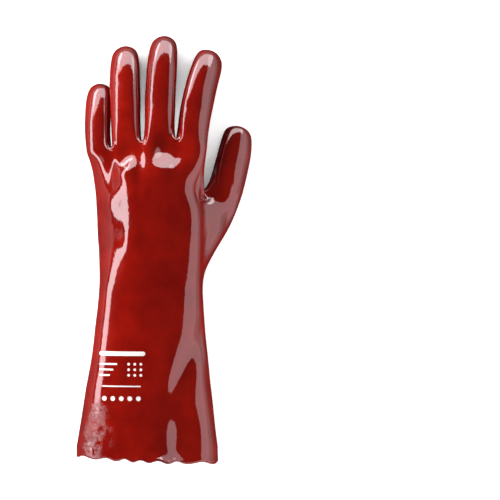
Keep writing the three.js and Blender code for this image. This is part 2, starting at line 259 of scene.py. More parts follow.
def addFinger(finger, rootLoop, root):
    ring = rootLoop
    for row in fingerRings:
        place, lean, bend = alongFinger(finger, root, row["along"])
        half = (finger["width"] * row["size"] / 2, finger["depth"] * row["size"] / 2)
        upper = turnedRing(place, lean, bend, finger["roll"] * row["roll"], *half, finger["shoulder"])
        joinRings(ring, upper)
        ring = upper
    closeTip(ring, alongFinger(finger, root, skin["fingertip"])[0])


def addThumb(loop, root):
    ring = loop
    for row in thumbRings:
        half = skin["thumbWidth"] * row["size"] / 2
        place = root + skin["thumbLength"] * Vector((row["out"], row["along"], -row["drop"]))
        shallow = half * row["flat"] * skin["thumbDepth"] / skin["thumbWidth"]
        upper = turnedRing(place, row["lean"], row["bend"], row["roll"], half, shallow)
        joinRings(ring, upper)
        ring = upper
    lean = thumbRings[-1]["lean"] * degree
    reach = skin["thumbtip"] * skin["thumbLength"]
    closeTip(ring, place + reach * Vector((math.sin(lean), math.cos(lean), 0)))


def buildCage():
    rows = handSections()
    seams, roots = fingerRoots()
    columns = skin["columns"]
    half = columns // 2
    lastRow = [None] * columns
    lastRow[0] = seams[-1]["middle"]
    lastRow[half] = seams[0]["middle"]
    for places, start in ((seams, 1), (roots, 2)):
        for i, place in enumerate(places):
            lastRow[half - start - 2 * i] = place["back"]
            lastRow[half + start + 2 * i] = place["palm"]
    # The thumb grows from a patch of two rows by two columns on the palm's thumb side
    first = len(gauntletRows)
    inner = columns - 1
    deep = columns - 2
    rows.append(lastRow)
    for i in range(1, len(rows)):
        inThumb = (inner, deep) if i - 1 in (first, first + 1) else ()
        joinRings(rows[i - 1], rows[i], inThumb)
    low, middle, high = rows[first:first + 3]
    loop = [low[inner], low[0], middle[0], high[0], high[inner], high[deep], middle[deep], low[deep]]
    addThumb(loop, cagePoints[middle[inner]].copy())
    for i, finger in enumerate(fingers):
        left, right, root = seams[i], seams[i + 1], roots[i]
        rootLoop = [right["middle"], right["back"], root["back"], left["back"]]
        rootLoop += [left["middle"], left["palm"], root["palm"], right["palm"]]
        addFinger(finger, rootLoop, root["centre"])


def meshObject(name, points, faces, edges=()):
    mesh = bpy.data.meshes.new(name)
    mesh.from_pydata([tuple(p) for p in points], list(edges), [tuple(f) for f in faces])
    mesh.update()
    piece = bpy.data.objects.new(name, mesh)
    bpy.context.scene.collection.objects.link(piece)
    return piece


def takeResult(piece):
    graph = bpy.context.evaluated_depsgraph_get()
    result = bpy.data.meshes.new_from_object(piece.evaluated_get(graph))
    piece.modifiers.clear()
    piece.data = result
    return piece


def valuesOf(items, field, size=1, kind=float):
    values = np.zeros(len(items) * size, kind)
    items.foreach_get(field, values)
    return values


def meshArrays(mesh):
    points = valuesOf(mesh.vertices, "co", size=3).reshape(-1, 3)
    return points, valuesOf(mesh.loops, "vertex_index", kind=int)


def outwardNormals(points, quads):
    across = points[quads[:, 2]] - points[quads[:, 0]]
    other = points[quads[:, 3]] - points[quads[:, 1]]
    face = np.cross(across, other)
    normals = np.zeros_like(points)
    for k in range(4):
        np.add.at(normals, quads[:, k], face)
    return normals / np.linalg.norm(normals, axis=1, keepdims=True)


buildCage()
cage = meshObject("glove_cage", cagePoints, cageFaces)
cageMesh = bmesh.new()
cageMesh.from_mesh(cage.data)
bmesh.ops.delete(cageMesh, geom=[v for v in cageMesh.verts if not v.link_faces], context="VERTS")
cageMesh.to_mesh(cage.data)
cageMesh.free()
smooth = cage.modifiers.new("smooth", "SUBSURF")
smooth.levels = smooth.render_levels = skin["smoothLevels"]
smooth.use_limit_surface = True
takeResult(cage)
barePoints, cageCorners = meshArrays(cage.data)
skinQuads = cageCorners.reshape(-1, 4)
bpy.data.objects.remove(cage)

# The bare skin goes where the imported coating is
coatingLow, coatingHigh = (np.array(corner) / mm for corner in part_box("pvc_coating"))
barePoints[:, 0] += (coatingLow[0] + coatingHigh[0] - barePoints[:, 0].min() - barePoints[:, 0].max()) / 2
barePoints[:, 1] += coatingHigh[1] - barePoints[:, 1].max()
print("bare skin:", len(skinQuads), "faces")

# Pads and dents of the skin by its side, pushed in (deep above 0) or out, in a bell shape.
# x and y are in the part's frame, and turn is how far the dent's long way leans towards the thumb.
dents = {
    "palm": [
        {"name": "thumb pad", "x": 10.2, "y": 5.4, "wide": 20, "long": 36, "deep": -4, "turn": 20},
        {"name": "heel pad", "x": -40.3, "y": -1.7, "wide": 16, "long": 42, "deep": -3, "turn": 0},
        {"name": "palm hollow", "x": -15.6, "y": 37.4, "wide": 24, "long": 36, "deep": 6, "turn": 0},
        {"name": "heel valley", "x": -13.6, "y": -26.6, "wide": 9, "long": 26, "deep": 2, "turn": 0},
        {"name": "thumb fold", "x": 27, "y": 37, "wide": 3, "long": 15, "deep": 1.7, "turn": 34},
        {"name": "index fold", "x": 33, "y": 61, "wide": 2.2, "long": 12, "deep": 1.3, "turn": -8},
        {"name": "index root fold", "x": 24, "y": 77, "wide": 2.2, "long": 8, "deep": 1.1, "turn": -54},
        {"name": "palm fold", "x": -20, "y": 62, "wide": 16, "long": 3, "deep": 1.0, "turn": 10},
    ],
    "back": [
        {"name": "gauntlet groove", "x": 20, "y": -96, "wide": 9, "long": 30, "deep": 4.5, "turn": 24},
        {"name": "outer groove", "x": 44, "y": -118, "wide": 7, "long": 30, "deep": 1.8, "turn": -8},
        {"name": "cuff groove", "x": 15, "y": -152, "wide": 12.5, "long": 26, "deep": 5.4, "turn": 0},
        {"name": "ring root", "x": -30, "y": 80.5, "wide": 11.5, "long": 12, "deep": 6.8, "turn": -4},
        {"name": "middle root", "x": 2, "y": 83, "wide": 12, "long": 13, "deep": 8.6, "turn": 8},
        {"name": "index root", "x": 18, "y": 79, "wide": 5, "long": 9, "deep": 2, "turn": 14},
        {"name": "little valley", "x": -44, "y": 70, "wide": 4.5, "long": 16, "deep": 2.2, "turn": -6},
        {"name": "ring valley", "x": -20, "y": 67, "wide": 5, "long": 20, "deep": 2.6, "turn": 4},
        {"name": "middle valley", "x": 11, "y": 75, "wide": 4.2, "long": 12, "deep": 2.2, "turn": 10},
        {"name": "ring knuckle", "x": -30, "y": 60, "wide": 10, "long": 8, "deep": -3, "turn": 0},
        {"name": "middle knuckle", "x": -3, "y": 62, "wide": 12, "long": 8, "deep": -2.6, "turn": 0},
        {"name": "hand ridge", "x": -27, "y": 8, "wide": 8, "long": 15, "deep": -2.4, "turn": 0},
        {"name": "outer fold", "x": -43, "y": 36, "wide": 8, "long": 9, "deep": -1.8, "turn": 0},
        {"name": "thumb web", "x": 41.5, "y": 47.5, "wide": 17, "long": 12, "deep": 8.6, "turn": 14},
        {"name": "thumb base", "x": 53, "y": 30, "wide": 13, "long": 12, "deep": 4, "turn": 12},
        {"name": "thumb crease", "x": 35.5, "y": 6, "wide": 1.8, "long": 9, "deep": 0.9, "turn": 15},
        {"name": "ring joint", "x": -35, "y": 117, "wide": 9, "long": 2.4, "deep": 0.5, "turn": 8},
        {"name": "ring far joint", "x": -34, "y": 140, "wide": 9, "long": 2, "deep": 0.35, "turn": -8},
        {"name": "middle joint", "x": -5, "y": 121, "wide": 9, "long": 2.4, "deep": 0.5, "turn": -8},
        {"name": "middle far joint", "x": -3, "y": 148, "wide": 9, "long": 2, "deep": 0.35, "turn": 6},
        {"name": "index joint", "x": 24, "y": 116, "wide": 9, "long": 2.4, "deep": 0.5, "turn": 18},
    ],
}
# shift moves each wave's noise to a place of its own
waves = [
    {"size": 46, "deep": 0.55, "shift": (21.9, 9.3, 3)},
    {"size": 21, "deep": 0.34, "shift": (80.3, 34.1, 11)},
    {"size": 10, "deep": 0.07, "shift": (36.5, 15.5, 5)},
]


# Full where the skin turns less than 60 degrees away from its side, and nothing past the edge
def facing(side, normals):
    return np.clip(2 * (normals[:, 2] if side == "back" else -normals[:, 2]), 0, 1)


def dentDepth(dent, side, points, normals):
    x = points[:, 0] - dent["x"]
    y = points[:, 1] - dent["y"]
    turn = dent["turn"] * degree
    u = (x * math.cos(turn) - y * math.sin(turn)) / dent["wide"]
    v = (x * math.sin(turn) + y * math.cos(turn)) / dent["long"]
    return dent["deep"] * np.exp(-u * u - v * v) * facing(side, normals)


def waveDepth(wave, points):
    shift = Vector(wave["shift"])
    return np.array([wave["deep"] * noise.noise(Vector(p) / wave["size"] + shift) for p in points])


bareNormals = outwardNormals(barePoints, skinQuads)
pushedIn = sum(dentDepth(dent, side, barePoints, bareNormals) for side, row in dents.items() for dent in row)
pushedIn += sum(waveDepth(wave, barePoints) for wave in waves)
skinPoints = barePoints - bareNormals * pushedIn[:, None]
skinPoints[:, 2] = np.maximum(skinPoints[:, 2], 0)  # no lower than the table
skinNormals = outwardNormals(skinPoints, skinQuads)
print("skin shaped")


# The rim of the mouth in order round the Y axis, as numbers of the skin's points
def rimOf(quads):
    edges = {}
    for quad in quads:
        for k in range(4):
            a, b = int(quad[k]), int(quad[(k + 1) % 4])
            key = (min(a, b), max(a, b))
            edges[key] = None if key in edges else (a, b)
    following = dict(edge for edge in edges.values() if edge)
    start = min(following)
    loop = [start]
    while following[loop[-1]] != start:
        loop.append(following[loop[-1]])
    return loop


# middle is the axis of the mouth (x, z), and oval how flat the mouth is, for even steps round it.
# flareTurn is where the flare points, from the thumb's side upwards; the last two divide the edge's band.
mouth = {
    "middle": (-13.6, 31.0),
    "oval": 0.75,
    "scallops": 15,
    "scallopDepth": 2.2,
    "scallopShift": 0.4,
    "shiftWaves": 3,
    "slant": 0.045,
    "wander": 0.5,
    "wanderScale": 4,
    "flare": 4.4,
    "flareTurn": 70,
    "split": 3,
    "rows": 5,
}
rim = rimOf(skinQuads)


def edgeRing(points, share):
    ring = []
    split = mouth["split"]
    scale = mouth["wanderScale"]
    for i in range(len(rim) * split):
        start = points[rim[i // split]]
        end = points[rim[(i // split + 1) % len(rim)]]
        point = start + (end - start) * (i % split) / split
        turn = math.atan2(point[2] - mouth["middle"][1], point[0] - mouth["middle"][0])
        shift = mouth["scallopShift"] * math.sin(mouth["shiftWaves"] * turn)
        scallop = 0.5 - 0.5 * math.cos(turn * mouth["scallops"] + shift)
        wander = mouth["wander"] * noise.noise(Vector((math.cos(turn) * scale, math.sin(turn) * scale, 1)))
        slant = mouth["slant"] * (point[0] - mouth["middle"][0])
        reach = skin["edgeBand"] + slant + mouth["scallopDepth"] * scallop + wander
        flare = mouth["flare"] * share ** 2 * max(0, math.cos(turn - mouth["flareTurn"] * degree)) ** 2
        ring.append(point + np.array((math.cos(turn) * flare, -reach * share, math.sin(turn) * flare)))
    return ring


# A closed wall between two depths under the skin, with the scalloped cut as its second material
def wallObject(name, outerDepth, innerDepth, longer=0.0):
    points = []
    faces = []
    edges = []
    for depth, flip in ((outerDepth, False), (innerDepth, True)):
        shell = skinPoints - skinNormals * depth
        first = len(points)
        points.extend(shell)
        for quad in skinQuads:
            faces.append([first + int(i) for i in (quad[::-1] if flip else quad)])
        lower = [first + i for i in rim]
        for row in range(1, mouth["rows"] + 1):
            start = len(points)
            points.extend(edgeRing(shell, row / mouth["rows"]))
            ring = list(range(start, len(points)))
            split = mouth["split"] if row == 1 else 1
            for i in range(len(lower)):
                upper = [ring[(i * split + k) % len(ring)] for k in range(split + 1)]
                face = [lower[(i + 1) % len(lower)], lower[i]] + upper
                faces.append(face[::-1] if flip else face)
            lower = ring
        edges.append(lower)
    outer, inner = edges
    cutStart = len(faces)
    for i in range(len(outer)):
        following = (i + 1) % len(outer)
        faces.append([outer[following], outer[i], inner[i], inner[following]])
    for i in outer + inner:
        points[i] = points[i] - np.array((0, longer, 0))
    piece = meshObject(name, np.array(points) * mm, faces)
    piece.data.shade_smooth()
    for i in range(cutStart, len(faces)):
        piece.data.polygons[i].material_index = 1
        piece.data.polygons[i].use_smooth = False
    addStitchMap(piece.data)
    return piece, np.array([points[i] for i in inner])


# Thicknesses, from the outside in
walls = {"coating": 1.0, "gap": 0.08, "liner": 1.02, "linerLonger": 0.25}
knit = {
    "wales": 150,
    "courses": 18,
    "courseHeight": 1.7,
    "loopHeight": 1.25,
    "loopSwing": 0.2,
    "loopDepth": 0.26,
    "yarnRadius": 0.3,
    "inset": 0.22,
    "pointsPerLoop": 8,
    "start": -175.2,
    "slant": 0.5,
    "roundness": 0.6,
    "rayLength": 200,
}


# One unit across is a wale of the knit and one unit along is a course, on every wall
def addStitchMap(mesh):
    points, corners = meshArrays(mesh)
    points = points / mm
    starts = valuesOf(mesh.polygons, "loop_start", kind=int)
    counts = valuesOf(mesh.polygons, "loop_total", kind=int)
    turns = np.arctan2((points[:, 2] - mouth["middle"][1]) / mouth["oval"], points[:, 0] - mouth["middle"][0])
    turns = ((turns / (2 * math.pi) + 0.25) % 1)[corners]  # the seam lies underneath
    lowest = np.repeat(np.minimum.reduceat(turns, starts), counts)
    turns = np.where(turns - lowest > 0.5, turns - 1, turns)
    places = np.column_stack((turns * knit["wales"], points[corners, 1] / knit["courseHeight"]))
    mesh.uv_layers.new(name="stitches").data.foreach_set("uv", places.ravel())


linerTop = walls["coating"] + walls["gap"]
coating = wallObject("pvc_skin", 0, walls["coating"])[0]
lining, liningEdge = wallObject("cotton_liner", linerTop, linerTop + walls["liner"], walls["linerLonger"])
print("coating and lining made")


def addNode(tree, kind, inputs=None, **settings):
    node = tree.nodes.new(kind)
    for key, value in settings.items():
        setattr(node, key, value)
    for key, value in (inputs or {}).items():
        if isinstance(value, bpy.types.NodeSocket):
            tree.links.new(value, node.inputs[key])
        else:
            node.inputs[key].default_value = value
    return node


def maths(tree, operation, *values):
    return addNode(tree, "ShaderNodeMath", dict(enumerate(values)), operation=operation).outputs[0]


def times(tree, first, second):
    return maths(tree, "MULTIPLY", first, second)


def plus(tree, first, second):
    return maths(tree, "ADD", first, second)


def vectorMaths(tree, operation, first, second=None):
    inputs = {0: first}
    if second is not None:
        inputs["Scale" if operation == "SCALE" else 1] = second
    return addNode(tree, "ShaderNodeVectorMath", inputs, operation=operation).outputs[0]


def joined(tree, x=0.0, y=0.0, z=0.0):
    return addNode(tree, "ShaderNodeCombineXYZ", {"X": x, "Y": y, "Z": z}).outputs[0]


def mixColours(tree, factor, start, end):
    return addNode(tree, "ShaderNodeMix", {0: factor, 6: start, 7: end}, data_type="RGBA").outputs[2]


def span(tree, value, fromLow, fromHigh, toLow=0.0, toHigh=1.0):
    ends = {"Value": value, "From Min": fromLow, "From Max": fromHigh, "To Min": toLow, "To Max": toHigh}
    return addNode(tree, "ShaderNodeMapRange", ends).outputs["Result"]


def newGroup(name, kind, inputs, outputs):
    tree = bpy.data.node_groups.new(name, kind)
    for label, socket in inputs.items():
        tree.interface.new_socket(label, in_out="INPUT", socket_type="NodeSocket" + socket)
    for label, socket in outputs.items():
        tree.interface.new_socket(label, in_out="OUTPUT", socket_type="NodeSocket" + socket)
    return tree, tree.nodes.new("NodeGroupInput").outputs, tree.nodes.new("NodeGroupOutput").inputs


def cloudGroup():
    tree, given, result = newGroup(
        "softClouds", "ShaderNodeTree",
        {"Vector": "Vector", "Scale": "Float", "Contrast": "Float"},
        {"Value": "Float"},
    )
    clouds = noiseOf(tree, given["Vector"], given["Scale"], 3.0)
    spread = times(tree, maths(tree, "SUBTRACT", clouds, 0.5), given["Contrast"])
    value = addNode(tree, "ShaderNodeMath", {0: spread, 1: 0.5}, use_clamp=True).outputs[0]
    tree.links.new(value, result["Value"])
    return tree


# Slanting yarns in V shapes: across counts wales and along counts courses
def knitGroup():
    tree, given, result = newGroup(
        "knitLoops", "ShaderNodeTree",
        {"Vector": "Vector", "Slant": "Float", "Roundness": "Float"},
        {"Height": "Float"},
    )
    parts = addNode(tree, "ShaderNodeSeparateXYZ", {"Vector": given["Vector"]}).outputs
    side = maths(tree, "PINGPONG", times(tree, parts["X"], 2.0), 1.0)
    along = maths(tree, "FRACT", plus(tree, parts["Y"], times(tree, side, given["Slant"])))
    legs = []
    for share in (side, along):
        leg = maths(tree, "SINE", times(tree, share, math.pi))
        legs.append(maths(tree, "POWER", leg, given["Roundness"]))
    tree.links.new(times(tree, *legs), result["Height"])
    return tree


def placeOf(tree):
    return addNode(tree, "ShaderNodeTexCoord").outputs["Object"]


def noiseOf(tree, vector, scale, detail):
    inputs = {"Vector": vector, "Scale": scale, "Detail": detail}
    return addNode(tree, "ShaderNodeTexNoise", inputs).outputs["Fac"]


softClouds = cloudGroup()
knitLoops = knitGroup()


def cloudsOf(tree, scale, contrast):
    inputs = {"Vector": placeOf(tree), "Scale": scale, "Contrast": contrast}
    return addNode(tree, "ShaderNodeGroup", node_tree=softClouds, inputs=inputs).outputs["Value"]


def loopsOf(tree):
    stitchMap = addNode(tree, "ShaderNodeUVMap", uv_map="stitches").outputs["UV"]
    inputs = {"Vector": stitchMap, "Slant": knit["slant"], "Roundness": knit["roundness"]}
    return addNode(tree, "ShaderNodeGroup", node_tree=knitLoops, inputs=inputs).outputs["Height"]


def newMaterial(name):
    material = bpy.data.materials.new(name)
    material.use_nodes = True
    tree = material.node_tree
    tree.nodes.clear()
    shader = tree.nodes.new("ShaderNodeBsdfPrincipled")
    tree.links.new(shader.outputs["BSDF"], tree.nodes.new("ShaderNodeOutputMaterial").inputs["Surface"])
    return material, tree, shader


def bumpFrom(tree, shader, height, strength, distance=0.001):
    values = {"Height": height, "Strength": strength, "Distance": distance}
    normal = addNode(tree, "ShaderNodeBump", values).outputs["Normal"]
    tree.links.new(normal, shader.inputs["Normal"])
    return normal


# Materials are in metres. Clouds are given as (scale, contrast), and other pairs go from low to high.
pvc = {
    "deepRed": (0.17, 0.002, 0.0008, 1),
    "brightRed": (0.3, 0.006, 0.0016, 1),
    "cutRed": (0.36, 0.03, 0.02, 1),
    "broadClouds": (21.0, 3.4),
    "fineClouds": (95.0, 3.0),
    "fineShare": 0.35,
    "ior": 1.54,
    "wetIor": 2.0,
    "wetFade": (0.25, 0.72),
    "gloss": (0.06, 0.13),
    "glossClouds": (60.0, 2.0),
    "peelScale": 330.0,
    "peel": 0.16,
    "speckScale": 520.0,
    "speckReach": 0.12,
    "speckShare": 0.06,
    "speckHeight": 0.25,
    "grainPatch": (-0.054, -0.152, 0.05),
    "grainReach": 0.031,
    "grainCore": 0.35,
    "grainClouds": (160.0, 3.5),
    "grainDulls": 0.2,
    "grainHeight": 0.5,
    "bump": 0.3,
    "cutClouds": (900.0, 3.0),
    "cutGloss": (0.4, 0.7),
    "cutBump": 0.4,
}


def redPvc():
    material, tree, shader = newMaterial("red_pvc")
    place = placeOf(tree)
    clouds = [cloudsOf(tree, *pvc[name]) for name in ("broadClouds", "fineClouds")]
    shade = mixColours(tree, pvc["fineShare"], *clouds)
    tree.links.new(mixColours(tree, shade, pvc["deepRed"], pvc["brightRed"]), shader.inputs["Base Color"])
    # The knit shows through thin PVC in one patch near the cuff, broken up by clouds
    middle = {0: place, 1: pvc["grainPatch"]}
    far = addNode(tree, "ShaderNodeVectorMath", middle, operation="DISTANCE").outputs["Value"]
    patch = span(tree, far, pvc["grainReach"] * pvc["grainCore"], pvc["grainReach"], 1.0, 0.0)
    patch = times(tree, patch, cloudsOf(tree, *pvc["grainClouds"]))
    grain = times(tree, loopsOf(tree), patch)
    gloss = span(tree, cloudsOf(tree, *pvc["glossClouds"]), 0.0, 1.0, *pvc["gloss"])
    gloss = plus(tree, gloss, times(tree, patch, pvc["grainDulls"]))
    tree.links.new(gloss, shader.inputs["Roughness"])
    shader.inputs["IOR"].default_value = pvc["ior"]
    # The wet gloss is strongest where the skin is seen face on, and gives way to the PVC's own at its edges
    shader.inputs["Coat IOR"].default_value = pvc["wetIor"]
    edge = addNode(tree, "ShaderNodeLayerWeight", {"Blend": 0.5}).outputs["Facing"]
    tree.links.new(span(tree, edge, *pvc["wetFade"], 1.0, 0.0), shader.inputs["Coat Weight"])
    # Fine orange peel, a few trapped bubbles and the grain
    cells = addNode(tree, "ShaderNodeTexVoronoi", {"Vector": place, "Scale": pvc["speckScale"]}).outputs
    pick = addNode(tree, "ShaderNodeSeparateXYZ", {0: cells["Color"]}).outputs["X"]
    speck = span(tree, cells["Distance"], 0.0, pvc["speckReach"], 1.0, 0.0)
    speck = times(tree, speck, maths(tree, "LESS_THAN", pick, pvc["speckShare"]))
    height = times(tree, noiseOf(tree, place, pvc["peelScale"], 1.0), pvc["peel"])
    height = plus(tree, height, times(tree, speck, pvc["speckHeight"]))
    height = plus(tree, height, times(tree, grain, pvc["grainHeight"]))
    tree.links.new(bumpFrom(tree, shader, height, pvc["bump"]), shader.inputs["Coat Normal"])
    return material


def cutPvc():
    material, tree, shader = newMaterial("cut_pvc")
    marks = cloudsOf(tree, *pvc["cutClouds"])
    tree.links.new(mixColours(tree, marks, pvc["brightRed"], pvc["cutRed"]), shader.inputs["Base Color"])
    tree.links.new(span(tree, marks, 0.0, 1.0, *pvc["cutGloss"]), shader.inputs["Roughness"])
    bumpFrom(tree, shader, marks, pvc["cutBump"])
    return material


cotton = {
    "raw": (0.8, 0.75, 0.66, 1),
    # painted shade between the loops and plies, and the worn colour
    "shadeAndWear": (0.64, 0.58, 0.49, 1),
    "roughness": 0.95,
    "sheen": 0.3,
    "fuzzScale": 2600.0,
    "fuzz": 0.4,
    "wearClouds": (40.0, 1.6),
    "wear": (0.75, 1.0),
    "knitBump": 0.8,
    "twist": 1500.0,
    "wander": 2.0,
    "plyShade": (0.6, 1.0),
    "yarnClouds": (60.0, 1.6),
    "yarnShade": (0.8, 1.0),
    "yarnBump": 0.5,
    "yarnRelief": 0.0003,
}


def cottonLook(tree, shader, tone):
    # tone 0 gives the painted shade and wear colour, tone 1 the cotton's own
    tree.links.new(mixColours(tree, tone, cotton["shadeAndWear"], cotton["raw"]), shader.inputs["Base Color"])
    shader.inputs["Roughness"].default_value = cotton["roughness"]
    shader.inputs["Sheen Weight"].default_value = cotton["sheen"]


def cottonKnit():
    material, tree, shader = newMaterial("cotton_knit")
    loops = loopsOf(tree)
    fuzz = noiseOf(tree, placeOf(tree), cotton["fuzzScale"], 2.0)
    wear = span(tree, cloudsOf(tree, *cotton["wearClouds"]), 0.0, 1.0, *cotton["wear"])
    # Painted shade: the lining is darker between its knit loops, and also in worn clouds
    cottonLook(tree, shader, times(tree, loops, wear))
    bumpFrom(tree, shader, plus(tree, loops, times(tree, fuzz, cotton["fuzz"])), cotton["knitBump"])
    return material


def cottonYarn():
    material, tree, shader = newMaterial("cotton_yarn")
    twist = {"Vector": placeOf(tree), "Scale": cotton["twist"], "Distortion": cotton["wander"], "Detail": 2.0}
    ply = addNode(tree, "ShaderNodeTexWave", twist).outputs["Fac"]
    shade = span(tree, cloudsOf(tree, *cotton["yarnClouds"]), 0.0, 1.0, *cotton["yarnShade"])
    # Painted shade in the grooves between the yarn's twisted plies, with clouds of tone along it
    cottonLook(tree, shader, times(tree, span(tree, ply, 0.0, 1.0, *cotton["plyShade"]), shade))
    bumpFrom(tree, shader, ply, cotton["yarnBump"], cotton["yarnRelief"])
    return material


yarnMaterial = cottonYarn()
coating.data.materials.append(redPvc())
coating.data.materials.append(cutPvc())
lining.data.materials.append(cottonKnit())
lining.data.materials.append(yarnMaterial)
print("materials made")


def geometryStep(tree, kind, inputs, output="Geometry", **settings):
    return addNode(tree, "GeometryNode" + kind, inputs, **settings).outputs[output]


def finishTree(tree, geometry, material, result):
    plain = geometryStep(tree, "RealizeInstances", {"Geometry": geometry})
    smoothed = geometryStep(tree, "SetShadeSmooth", {"Geometry": plain})
    finished = geometryStep(tree, "SetMaterial", {"Geometry": smoothed, "Material": material})
    tree.links.new(finished, result["Geometry"])


def runTree(piece, tree, values):
    modifier = piece.modifiers.new(tree.name, "NODES")
    modifier.node_group = tree
    for socket in tree.interface.items_tree:
        if socket.item_type == "SOCKET" and socket.in_out == "INPUT" and socket.name in values:
            modifier[socket.identifier] = values[socket.name]
    return takeResult(piece)


# Tubes of yarn along curves, with closed ends
def yarnTubes(tree, curve, sides, radius):
    profile = geometryStep(tree, "CurvePrimitiveCircle", {"Resolution": sides, "Radius": radius}, "Curve")
    tube = {"Curve": curve, "Profile Curve": profile, "Fill Caps": True}
    return geometryStep(tree, "CurveToMesh", tube, "Mesh")


# Knitted loops inside the mouth: each course is one yarn that waves round the oval of the lining,
# and it ends where the cut edge crosses it
def knitTree():
    tree, given, result = newGroup(
        "knittedCourses", "GeometryNodeTree",
        {
            "Lining": "Object", "Middle": "Vector", "Oval": "Float", "Ray Length": "Float",
            "Wales": "Int", "Courses": "Int", "Points Per Loop": "Int",
            "Course Height": "Float", "Loop Height": "Float", "Loop Swing": "Float", "Loop Depth": "Float",
            "Inset": "Float", "Yarn Radius": "Float", "Yarn": "Material",
        },
        {"Geometry": "Geometry"},
    )
    count = times(tree, given["Wales"], given["Points Per Loop"])
    circle = geometryStep(tree, "MeshCircle", {"Vertices": count, "Radius": 1.0}, "Mesh")
    rows = geometryStep(tree, "MeshLine", {"Count": given["Courses"], "Offset": (0, 0, 1)}, "Mesh")
    copies = geometryStep(tree, "InstanceOnPoints", {"Points": rows, "Instance": circle}, "Instances")
    rings = geometryStep(tree, "RealizeInstances", {"Geometry": copies})
    position = geometryStep(tree, "InputPosition", {}, "Position")
    place = addNode(tree, "ShaderNodeSeparateXYZ", {0: position}).outputs
    turn = maths(tree, "ARCTAN2", place["Y"], place["X"])
    phase = times(tree, turn, given["Wales"])
    double = times(tree, phase, 2.0)
    swing = maths(tree, "DIVIDE", times(tree, given["Loop Swing"], 2 * math.pi), given["Wales"])
    turn = plus(tree, turn, times(tree, swing, maths(tree, "SINE", double)))
    along = times(tree, place["Z"], given["Course Height"])
    along = plus(tree, along, times(tree, given["Loop Height"], maths(tree, "COSINE", phase)))
    up = times(tree, maths(tree, "SINE", turn), given["Oval"])
    outward = vectorMaths(tree, "NORMALIZE", joined(tree, x=maths(tree, "COSINE", turn), z=up))
    centre = vectorMaths(tree, "ADD", given["Middle"], joined(tree, y=along))
    wall = geometryStep(tree, "ObjectInfo", {"Object": given["Lining"]})
    ray = addNode(tree, "GeometryNodeRaycast", {
        "Target Geometry": wall, "Source Position": centre,
        "Ray Direction": outward, "Ray Length": given["Ray Length"]}).outputs
    depth = plus(tree, given["Inset"], times(tree, given["Loop Depth"], maths(tree, "COSINE", double)))
    inwards = vectorMaths(tree, "SCALE", outward, times(tree, depth, -1.0))
    target = vectorMaths(tree, "ADD", ray["Hit Position"], inwards)
    missed = addNode(tree, "FunctionNodeBooleanMath", {0: ray["Is Hit"]}, operation="NOT").outputs[0]
    marked = {"Geometry": rings, "Name": "missed", "Value": missed}
    kept = geometryStep(tree, "StoreNamedAttribute", marked, data_type="BOOLEAN")
    laid = geometryStep(tree, "SetPosition", {"Geometry": kept, "Position": target})
    gone = geometryStep(tree, "InputNamedAttribute", {"Name": "missed"}, "Attribute", data_type="BOOLEAN")
    cut = geometryStep(tree, "DeleteGeometry", {"Geometry": laid, "Selection": gone})
    lines = geometryStep(tree, "MeshToCurve", {"Mesh": cut}, "Curve")
    finishTree(tree, yarnTubes(tree, lines, 4, given["Yarn Radius"]), given["Yarn"], result)
    return tree


stitches = runTree(meshObject("knit_stitches", [(0, 0, 0)], []), knitTree(), {
    "Lining": lining,
    "Middle": (mouth["middle"][0] * mm, knit["start"] * mm, mouth["middle"][1] * mm),
    "Oval": mouth["oval"],
    "Ray Length": knit["rayLength"] * mm,
    "Wales": knit["wales"],
    "Courses": knit["courses"],
    "Points Per Loop": knit["pointsPerLoop"],
    "Course Height": knit["courseHeight"] * mm,
    "Loop Height": knit["loopHeight"] * mm,
    "Loop Swing": knit["loopSwing"],
    "Loop Depth": knit["loopDepth"] * mm,
    "Inset": knit["inset"] * mm,
    "Yarn Radius": knit["yarnRadius"] * mm,
    "Yarn": yarnMaterial,
})
print("stitches:", len(stitches.data.polygons), "faces")

# Cut ends of yarn that stand out of the lining's edge, in millimetres and radians.
# bow is how far a fibre's middle stands aside and up, as shares of its length.
fibres = {
    "count": 420,
    "length": 1.6,
    "radius": 0.045,
    "bow": (0.3, 0.6),
    "lean": 0.9,
    "turn": 3.1,
    "sizes": (0.25, 1.0),
    "seed": 7,
}


def fibreTree():
    tree, given, result = newGroup(
        "cutFibres", "GeometryNodeTree",
        {
            "Geometry": "Geometry", "Count": "Int", "Length": "Float", "Radius": "Float", "Lean": "Float",
            "Turn": "Float", "Shortest": "Float", "Longest": "Float", "Seed": "Int", "Yarn": "Material",
        },
        {"Geometry": "Geometry"},
    )
    line = geometryStep(tree, "MeshToCurve", {"Mesh": given["Geometry"]}, "Curve")
    counted = {"Curve": line, "Count": given["Count"]}
    spread = geometryStep(tree, "CurveToPoints", counted, "Points", mode="COUNT")
    aside, up = (times(tree, given["Length"], share) for share in fibres["bow"])
    bow = {"Middle": joined(tree, x=aside, z=up), "End": joined(tree, z=given["Length"])}
    hair = geometryStep(tree, "CurveQuadraticBezier", {"Resolution": 3, "Start": (0, 0, 0), **bow}, "Curve")
    thread = yarnTubes(tree, hair, 3, given["Radius"])
    ends = {"Seed": given["Seed"]}
    for key, sign in ((0, -1.0), (1, 1.0)):
        lean = times(tree, given["Lean"], sign)
        ends[key] = joined(tree, x=plus(tree, lean, math.pi / 2), y=lean, z=times(tree, given["Turn"], sign))
    turns = addNode(tree, "FunctionNodeRandomValue", ends, data_type="FLOAT_VECTOR")
    limits = {2: given["Shortest"], 3: given["Longest"], "Seed": given["Seed"]}
    sizes = addNode(tree, "FunctionNodeRandomValue", limits, data_type="FLOAT")
    hairs = geometryStep(tree, "InstanceOnPoints", {
        "Points": spread, "Instance": thread,
        "Rotation": turns.outputs["Value"], "Scale": sizes.outputs[1]}, "Instances")
    finishTree(tree, hairs, given["Yarn"], result)
    return tree


